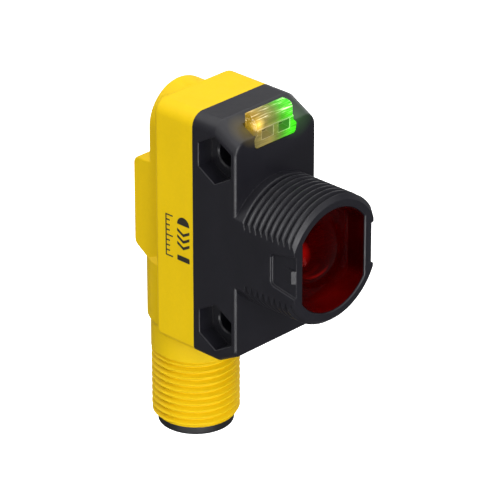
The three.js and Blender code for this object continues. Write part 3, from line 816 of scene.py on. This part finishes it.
def case_pad():
    """The flat pad on the back of the case, with a sloping heel."""
    inside = CASE_REAR - 2 * PAST
    side = rounded([
        (inside, PAD["top"], 0),
        (PAD["rear"], PAD["top"], 1.1),
        (PAD["rear"], PAD["bottom"], 1.2),
        (PAD["heel"], PAD["heel_bottom"], 0.3),
        (inside, PAD["heel_bottom"] - 0.6, 0),
    ])
    return prism("pad", "x", side, -PAD["half"], PAD["half"], PAD["edge"], PAD["edge"])


def case_boss():
    outline = arch(BOSS["half"], BOSS["centre"], BOSS["foot"])
    return prism("boss", "y", outline, CASE_REAR - 2 * PAST, BOSS["rear"], 0, BOSS["edge"], 6)


def case_cavities():
    """The room for the electronics in the case and in its arched boss."""
    across = (-HALF_WIDTH + WALL, HALF_WIDTH - WALL)
    inner = rounded(rectangle(across, (BOTTOM + WALL, TOP - WALL), CAVITY_CORNER))
    inner_arch = arch(BOSS["half"] - WALL, BOSS["centre"], BOSS["cavity_foot"])
    return [
        prism("cavity", "y", inner, SPLIT - PAST, CASE_REAR - WALL),
        prism("boss_cavity", "y", inner_arch, CASE_REAR - 2 * PAST, BOSS["rear"] - WALL),
    ]


def plug_bores():
    """The bore for the plug's insert with a chamfered mouth, and a narrower one above it."""
    radius, lip, top = PLUG_BORE["radius"], PLUG_BORE["lip"], PLUG_BORE["top"]
    outside = THREAD_END - PAST
    bore = [(0, outside), (radius + lip + PAST, outside), (radius, THREAD_END + lip), (radius, top), (0, top)]
    radius, bottom, top = UPPER_BORE["radius"], UPPER_BORE["bottom"], UPPER_BORE["top"]
    upper = [(0, bottom), (radius, bottom), (radius, top), (0, top)]
    centre = (0, PLUG_Y, 0)
    return [lathe("bore", "z", bore, centre, 96), lathe("upper_bore", "z", upper, centre, 96)]


def pot_hole():
    """The hole for the gain adjuster in the boss, with a chamfered mouth."""
    radius, mouth, past, rear = POT_HOLE["radius"], POT_HOLE["mouth"], PAST / 2, BOSS["rear"]
    inside = rear - POT_HOLE["depth"]
    profile = [(0, inside), (radius, inside), (radius, rear - mouth), (radius + mouth + past, rear + past),
               (0, rear + past)]
    return lathe("pot_hole", "y", profile, (0, 0, POT_Z), 96)


def rear_case(material):
    shell = prism("rear_housing_shell", "y", body_outline(), SPLIT, CASE_REAR, SEAM, CASE_REAR_EDGE, 6)
    combine(shell, [case_boss(), case_pad(), plug_spigot()], "UNION")
    combine(shell, [*case_cavities(), *plug_bores(), pot_hole()])
    return complete(shell, "sensor_body", material, ["rear_housing"])


# ---------- lens, light pipe, insert and rotor
def lens_dome():
    """The convex lens on the floor of the cup."""
    radius, height, floor, steps = LENS["dome_radius"], LENS["dome_height"], LENS["floor"], 24
    foot, sunk = radius + 0.15, floor + 0.3
    profile = [(0, sunk), (foot, sunk), (foot, floor)]
    for k in range(steps + 1):
        share = 1 - k / steps
        profile.append((radius * share, floor - height * (1 - share ** 2)))
    return lathe("dome", "y", profile, (0, 0, 0))


def lens_cup(material):
    """The red cup of the window with the lens on its floor."""
    gap, wall, floor = LENS["gap"], LENS["wall"], LENS["floor"]
    front = LENS_LOW.y
    cup = prism("lens_window", "y", window_outline(gap), front, LENS_HIGH.y, 0, 0.1)
    insets = [(front - 0.5, 0.12), (front + 0.2, 0.16), (floor - 0.35, wall), (floor - 0.1, wall + 0.1),
              (floor, wall + 0.35)]
    combine(cup, [layered("hollow", "y", window_outline, [(y, gap + amount) for y, amount in insets])])
    combine(cup, [lens_dome()], "UNION")
    return complete(cup, "sensor_body", material, ["lens"])


def ribbed(point):
    """Fine ribs along the round top of the light pipe, which spread its light."""
    arm = point - RIB["centre"]
    if point.y < RIB["from"]:
        return point
    wave = RIB["height"] * (cos(RIB["count"] * atan2(arm.y, arm.x)) - 1)
    return point + arm.normalized() * wave


def pipe_head():
    """The loaf on top of the light pipe, round along its length, at its ends and in plan."""
    low, high = HEAD["bottom"], PIPE_HIGH.z
    left, right, rear = HEAD["left"], HEAD["right"], HEAD["rear"]
    side = rounded([
        (HEAD["front"] - 0.2, low, 0.05),
        (rear, low, 0.05),
        (rear, high, 0.7),
        (HEAD["front"] - 0.1, high, 1.45),
        (HEAD["front"] - 0.2, SKIRT["lip"] + 0.05, 0.1),
    ], 60)
    head = prism("light_pipe_prism", "x", [ribbed(point) for point in side], left, right)
    end = 0.55
    face = rounded([(left, low - PAST, 0), (right, low - PAST, 0), (right, high, end), (left, high, end)], 16)
    near = HEAD["front"] - 0.3
    plan = rounded([(left, near, 0.9), (right, near, 0.5), (right, rear, 1.25), (left, rear, 0.7)], 20)
    combine(head, [prism("face", "y", face, -2 * PAST, 4 * PAST)], "INTERSECT")
    return combine(head, [prism("plan", "z", plan, low - 2 * PAST, high + 2 * PAST)], "INTERSECT")


def pipe_skirt():
    """The lower front of the light pipe, under a lip that slopes back to the head."""
    lip, reach = SKIRT["lip"], 6
    skirt = prism("skirt", "y", skirt_outline(), 0, SKIRT["rear"], 0.12, 0)
    outline = [(-0.5, 12), (-0.5, lip), (0.0, lip + 0.02), (0.35, lip + 0.2), (2.0, 16.6), (2.0, 12)]
    trim = prism("trim", "x", [Vector(p) for p in outline], -reach, reach)
    return combine(skirt, [trim], "INTERSECT")


def pipe_window(side):
    """One of the skirt's two windows: a recess whose walls slope inwards like facets."""
    across = sorted((side * PIPE_WINDOW["near"], side * PIPE_WINDOW["far"]))
    outline = rounded(rectangle(across, (PIPE_WINDOW["bottom"], PIPE_WINDOW["top"]), 0.05), 2)
    levels = [(-0.5, 0.0), (0.06, 0.0), (PIPE_WINDOW["depth"], PIPE_WINDOW["slope"])]
    return tapered("facet", "y", outline, levels)


def light_pipe(material):
    """The clear prism on the chamfer: a round-topped head, a skirt and a forked shank."""
    half, fork, rear = SHANK["half"], SHANK["half_fork"], PIPE_HIGH.y
    low, high = SHANK["bottom"], SHANK["top"]
    shank = block("shank", (-half, half), (HEAD["rear"] - 0.5, rear), (low, high))
    pipe = combine(pipe_head(), [pipe_skirt(), shank], "UNION")
    combine(pipe, [pipe_window(-1), pipe_window(1)])
    slot = block("fork", (-fork, fork), (SHANK["fork_from"], rear + PAST), (low - PAST, high + PAST))
    combine(pipe, [slot])
    return complete(pipe, "sensor_body", material, ["light_pipe"])


def pin_hole(angle):
    radius, wide, floor, top = INSERT["hole"], INSERT["hole_tool"], INSERT["floor"], INSERT_HIGH.z + PAST
    profile = [(0, floor - PAST), (wide, floor - PAST), (radius, floor + 0.05), (radius, top), (0, top)]
    centre = (PIN_CIRCLE * cos(angle), PLUG_Y + PIN_CIRCLE * sin(angle), 0)
    return lathe("pin_hole", "z", profile, centre, 48)


def plug_insert(material):
    """The black insert of the plug: its rim, key and pin holes."""
    plug, cavity, floor = INSERT["plug"], INSERT["cavity"], INSERT["floor"]
    flange, shoulder = INSERT_HIGH.x, THREAD_END - 0.05
    profile = bent([
        (0, INSERT_HIGH.z, 0), (plug, INSERT_HIGH.z, 0.2), (plug, shoulder, 0), (flange, shoulder, 0.05),
        (flange, PLUG_RIM, 0.25), (cavity, PLUG_RIM, 0.15), (cavity, floor, 0.2), (0, floor, 0),
    ])
    insert = lathe("plug_insert", "z", profile, (0, PLUG_Y, 0))
    half, wall, overlap = INSERT_KEY["half"], PLUG_Y + cavity, 0.2
    key = block("key", (-half, half), (wall - INSERT_KEY["depth"], wall + overlap),
                (PLUG_RIM + INSERT_KEY["front"], floor + overlap))
    combine(insert, [key], "UNION")
    combine(insert, [pin_hole(pi / 4 + k * pi / 2) for k in range(4)])
    return complete(insert, "sensor_body", material, ["connector_insert"])


def pot_rotor(material):
    """The gain adjuster: a white disc with a screwdriver slot and a pointer notch."""
    front, rear, shaft = ROTOR_LOW.y, ROTOR_HIGH.y, ROTOR["shaft"]
    disc, half, outside = front + ROTOR["disc_from"], ROTOR["half_slot"], rear + PAST
    profile = bent([(0, front, 0), (shaft, front, 0.1), (shaft, disc, 0), (POT_RADIUS, disc, 0.1),
                    (POT_RADIUS, rear, 0.18), (0, rear, 0)])
    rotor = lathe("gain_rotor_disc", "y", profile, (0, 0, POT_Z), 96)
    height = (POT_Z - POT_RADIUS - PAST, POT_Z + POT_RADIUS + PAST)
    slot = block("slot", (-half, half), (rear - ROTOR["slot_depth"], outside), height)
    middle, tip = 1.1, 0.6
    pointer = [Vector((middle - half, POT_Z)), Vector((middle + half, POT_Z)), Vector((middle, POT_Z + tip))]
    notch = prism("notch", "y", pointer, rear - ROTOR["notch_depth"], outside)
    combine(rotor, [slot, notch])
    return complete(rotor, "gain_rotor", material, ["gain_pot_rotor"])


# ---------- generic print on the left side
INK = {"height": 0.015, "sunk": 0.05}
PICTOGRAM = {"left": 8.35, "right": 10.6, "top": 2.0, "bottom": -4.4, "bulge": 1.15}
CHEVRON = {"first": 0.25, "step": 0.95, "rise": 0.62, "thick": 0.42}
SCALE = {"line": 12.55, "top": 1.7, "thick": 0.2, "ticks": 9, "long": 1.15, "short": 0.6}


def mark(name, outline, material):
    """One thin patch of ink on the left side, from an outline in y and z."""
    patch = prism(name, "x", outline, -HALF_WIDTH - INK["height"], -HALF_WIDTH + INK["sunk"])
    return complete(patch, "sensor_body", material)


def print_pictogram(material):
    """A lens, its beam as three chevrons, and a target."""
    left, right, low, bulge = PICTOGRAM["left"], PICTOGRAM["right"], PICTOGRAM["bottom"], PICTOGRAM["bulge"]
    middle, half = (left + right) / 2, (right - left) / 2
    foot = PICTOGRAM["top"] - bulge
    angles = [pi * k / 20 for k in range(21)]
    mark("print_lens", [Vector((middle + half * cos(a), foot + bulge * sin(a))) for a in angles], material)
    rise, thick = CHEVRON["rise"], CHEVRON["thick"]
    for k in range(3):
        z = CHEVRON["first"] - CHEVRON["step"] * k
        outline = [(left, z), (middle, z - rise), (right, z), (right, z - thick), (middle, z - rise - thick),
                   (left, z - thick)]
        mark(f"print_chevron_{k + 1}", [Vector(p) for p in outline], material)
    target = rectangle((left, right), (low, low + 0.75), 0.1)
    mark("print_target", rounded(target, 4), material)


def print_scale(material):
    """An upright line with short ticks, every fourth one longer."""
    line, thick, low, high = SCALE["line"], SCALE["thick"], PICTOGRAM["bottom"], SCALE["top"]
    mark("print_scale", rounded(rectangle((line, line + thick), (low, high))), material)
    overlap = 0.02
    for k in range(SCALE["ticks"]):
        z = low + (high - low - thick) * k / (SCALE["ticks"] - 1)
        reach = SCALE["long"] if k % 4 == 0 else SCALE["short"]
        tick = rectangle((line - reach, line + overlap), (z, z + thick))
        mark(f"print_tick_{k + 1}", rounded(tick), material)


# ---------- inner pieces that stay as the CAD has them
INNER = {  # colour, roughness, grain scale, metal, nodes
    "rubber": (colour(28, 28, 29), 0.85, 1500, 0.0, ["lens_seal", "gain_pot_seal", "insert_seal"]),
    "red_epoxy": (colour(150, 22, 22), 0.25, 900, 0.0, ["emitter_led"]),
    "dark_epoxy": (colour(26, 24, 28), 0.3, 900, 0.0, [
        "receiver_photodiode", "board_link", "controller_chip", "voltage_regulator", "output_transistor_1",
        "output_transistor_2", "protection_diode"]),
    "circuit_board": (colour(24, 92, 52), 0.45, 700, 0.0, ["optics_board", "main_board"]),
    "tinned_steel": (colour(200, 200, 204), 0.32, 1200, 1.0, ["receiver_shield"]),
    "gold_plate": (colour(214, 170, 82), 0.28, 1400, 1.0, [f"contact_pin_{k}" for k in range(1, 5)]),
    "ceramic": (colour(168, 138, 98), 0.6, 1600, 0.0, ["supply_capacitor", "filter_capacitor"]),
    "blue_plastic": (colour(44, 92, 172), 0.4, 1500, 0.0, ["gain_pot_body"]),
    "amber_epoxy": (colour(240, 165, 40), 0.3, 900, 0.0, ["amber_led"]),
    "green_epoxy": (colour(70, 220, 80), 0.3, 900, 0.0, ["green_led"]),
    "inner_black": (colour(30, 30, 33), 0.55, 1500, 0.0, ["optics_carrier"]),
}
WIRES = {"brown": (108, 66, 40), "white": (230, 228, 222), "blue": (44, 92, 172), "black": (34, 34, 34)}
for number, (hue, shade) in enumerate(WIRES.items(), 1):
    INNER[f"{hue}_wire"] = (colour(*shade), 0.5, 1500, 0.0, [f"lead_wire_{number}"])


def finish_inner_pieces():
    for name, (base, rough, grain, metal, nodes) in INNER.items():
        material = dull(name, base, rough, grain, metal)
        for node in nodes:
            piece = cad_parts[node]
            piece.data.materials.clear()
            piece.data.materials.append(material)


# ---------- studio, in metres
CAMERA = {"azimuth": -46.1, "elevation": 26.33, "distance_mm": 484.59, "lens_mm": 268.0, "sensor_mm": 36.0}
CAMERA_AIM = Vector((-2.90, 1.82, -1.66)) * MM
SOFTBOXES = {  # azimuth, elevation, distance, width, height, radiance
    "top_softbox": (0, 89.9, 0.5, 1.0, 1.0, 1.6),
    "key_softbox": (-17, 18, 0.6, 0.36, 0.36, 5.6),
    "left_softbox": (-95, 20, 0.8, 0.6, 0.6, 0.85),
    "rear_softbox": (-168, 25, 1.2, 0.8, 0.8, 1.2),
    "right_softbox": (110, 15, 1.2, 0.8, 0.8, 1.2),
    "low_card_84": (-84, -22, 0.4, 0.26, 0.1, 5.5),
    "low_card_48": (-48, -22, 0.4, 0.26, 0.1, 8.0),
    "low_card_18": (-18, -22, 0.4, 0.26, 0.1, 10.0),
}
FILL_LIGHT = (0.15, 0.15, 0.155, 1)
FLOOR_HALF = 3.0
FLOOR_LEVEL = -0.14


def direction(azimuth, elevation):
    """A unit vector from the object: azimuth 0 is in front of the lens, -90 is its left side."""
    a, e = radians(azimuth), radians(elevation)
    return Vector((sin(a) * cos(e), -cos(a) * cos(e), sin(e)))


def place_in_studio(name, data, position, target):
    """A camera or a light at a position, turned to a target."""
    item = new_object(name, data)
    item.location = position
    item.rotation_euler = (target - position).to_track_quat("-Z", "Y").to_euler()
    return item


def make_camera():
    data = bpy.data.cameras.new("camera")
    data.lens = CAMERA["lens_mm"]
    data.sensor_width = CAMERA["sensor_mm"]
    data.clip_start = 0.01
    position = CAMERA_AIM + direction(CAMERA["azimuth"], CAMERA["elevation"]) * CAMERA["distance_mm"] * MM
    bpy.context.scene.camera = place_in_studio("camera", data, position, CAMERA_AIM)


def make_lights():
    """Soft light from above and around, and low cards that draw bright lines along the lower edges."""
    for name, (azimuth, elevation, distance, width, height, radiance) in SOFTBOXES.items():
        data = bpy.data.lights.new(name, "AREA")
        data.shape = "RECTANGLE"
        data.size, data.size_y = width, height
        data.energy = radiance * width * height * pi
        place_in_studio(name, data, direction(azimuth, elevation) * distance, Vector())


def make_backdrop():
    """A world that the camera sees as white, and that lights the object only a little."""
    world = bpy.data.worlds.new("studio")
    bpy.context.scene.world = world
    world.use_nodes = True
    nodes, links = world.node_tree.nodes, world.node_tree.links
    seen = nodes.new("ShaderNodeLightPath")
    pick = nodes.new("ShaderNodeMix")
    pick.data_type = "RGBA"
    pick.inputs[MIX_A].default_value = FILL_LIGHT
    pick.inputs[MIX_B].default_value = grey(1)
    links.new(seen.outputs["Is Camera Ray"], pick.inputs[MIX_FACTOR])
    links.new(next(output for output in pick.outputs if output.enabled), nodes["Background"].inputs["Color"])


def make_floor():
    """A plain pale floor, well below the object, which its barrel holds up."""
    half = FLOOR_HALF
    data = bpy.data.meshes.new("floor")
    corners = ((-half, -half), (half, -half), (half, half), (-half, half))
    data.from_pydata([(x, y, FLOOR_LEVEL) for x, y in corners], [], [(0, 1, 2, 3)])
    data.materials.append(pale_paper("pale_floor"))
    floor = new_object("floor", data)
    floor.visible_glossy = False
    floor.visible_diffuse = False


def set_colours():
    bpy.context.scene.view_settings.view_transform = "Standard"
    bpy.context.scene.view_settings.look = "None"


# ---------- build
make_camera()
set_colours()
make_lights()
make_backdrop()
make_floor()

yellow = moulded("yellow_plastic_fine", (0.82, 0.55, 0.004, 1), 0.5, 0.15, 0.03, 0.05)
insert_black = moulded("insert_plastic", (0.010, 0.010, 0.011, 1), 0.5, 0.4, 0.12, 0.04)
white = moulded("white_plastic_fine", (0.78, 0.77, 0.74, 1), 0.45, 0.4, 0.03, 0.02)
lit_black = moulded("black_plastic_lit", COVER_BLACK, 0.4, 0.45, 0.12, 0.05, LAMP_GLOWS)
ink = printed_ink("pad_print_ink", colour(38, 34, 24))

front_cover(lit_black)
rear_case(yellow)
lens_cup(red_window("red_acrylic_clear"))
light_pipe(glowing_pipe("lit_clear_plastic"))
plug_insert(insert_black)
pot_rotor(white)
print_pictogram(ink)
print_scale(ink)
finish_inner_pieces()
